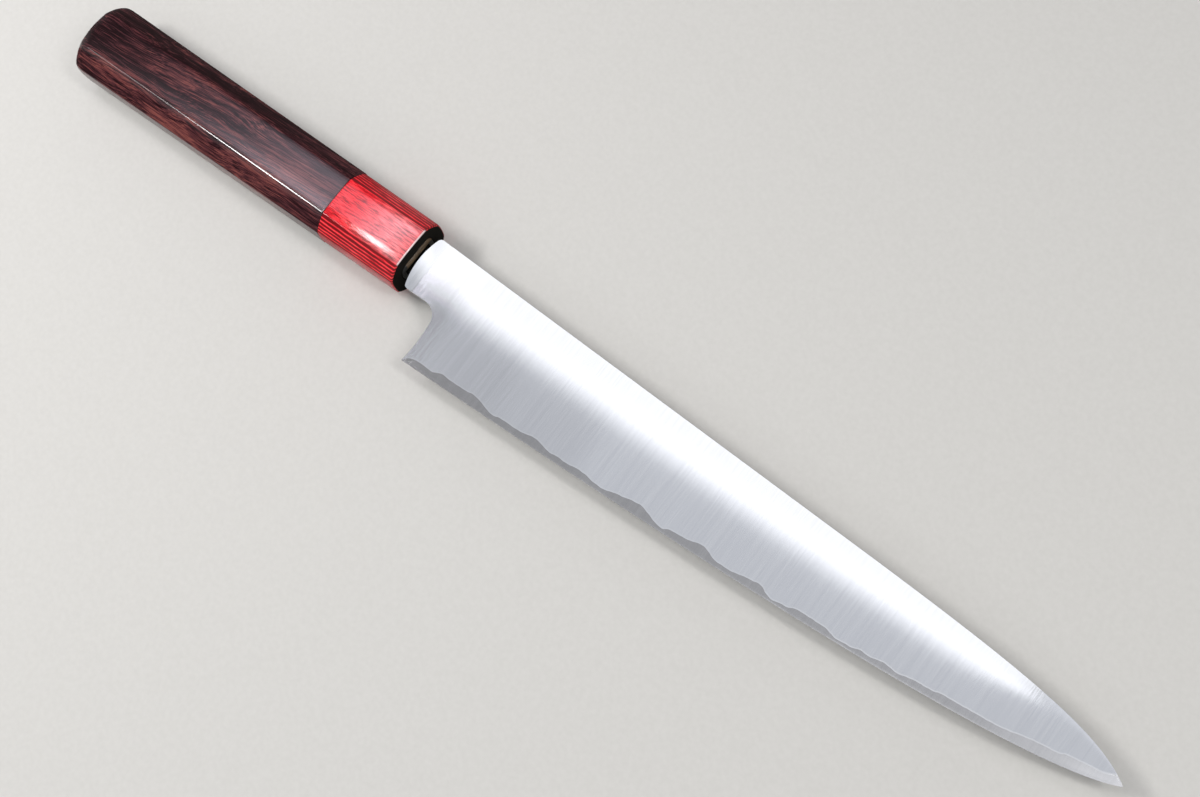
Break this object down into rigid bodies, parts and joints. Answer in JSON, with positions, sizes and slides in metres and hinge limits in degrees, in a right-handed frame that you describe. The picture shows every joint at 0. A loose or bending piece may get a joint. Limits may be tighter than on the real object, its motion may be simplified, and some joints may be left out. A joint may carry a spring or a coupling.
{
  "type": "slicing knife",
  "caption": "Long narrow slicing knife with a layered steel blade, a wavy band of core steel along the edge, a red laminated ferrule and an eight-sided rosewood handle.",
  "frame": {"origin": "centre of the flat face at the butt of the handle", "axes": "+X along the handle's axis from the butt to the tip, +Y to the spine, +Z out of the right side of the blade; Z = 0 is the middle plane of the blade and of the handle"},
  "size_m": [0.3964, 0.0421, 0.02],
  "materials": {
    "core_steel": "fine ground hard steel, a little darker than the cladding",
    "cladding_steel": "satin, with fine lines from spine to edge",
    "red_veneer": "dyed laminated wood, polished",
    "rosewood": "dark streaked rosewood, lacquered",
    "dowel_wood": "plain pale wood",
    "brown_resin": "matt brown filler"
  },
  "bodies": {
    "root": {"core_steel": "core_steel", "right_cladding": "cladding_steel", "left_cladding": "cladding_steel", "ferrule": "red_veneer", "handle_body": "rosewood", "handle_dowel": "dowel_wood", "mouth_seal": "brown_resin"}
  },
  "joints": []
}
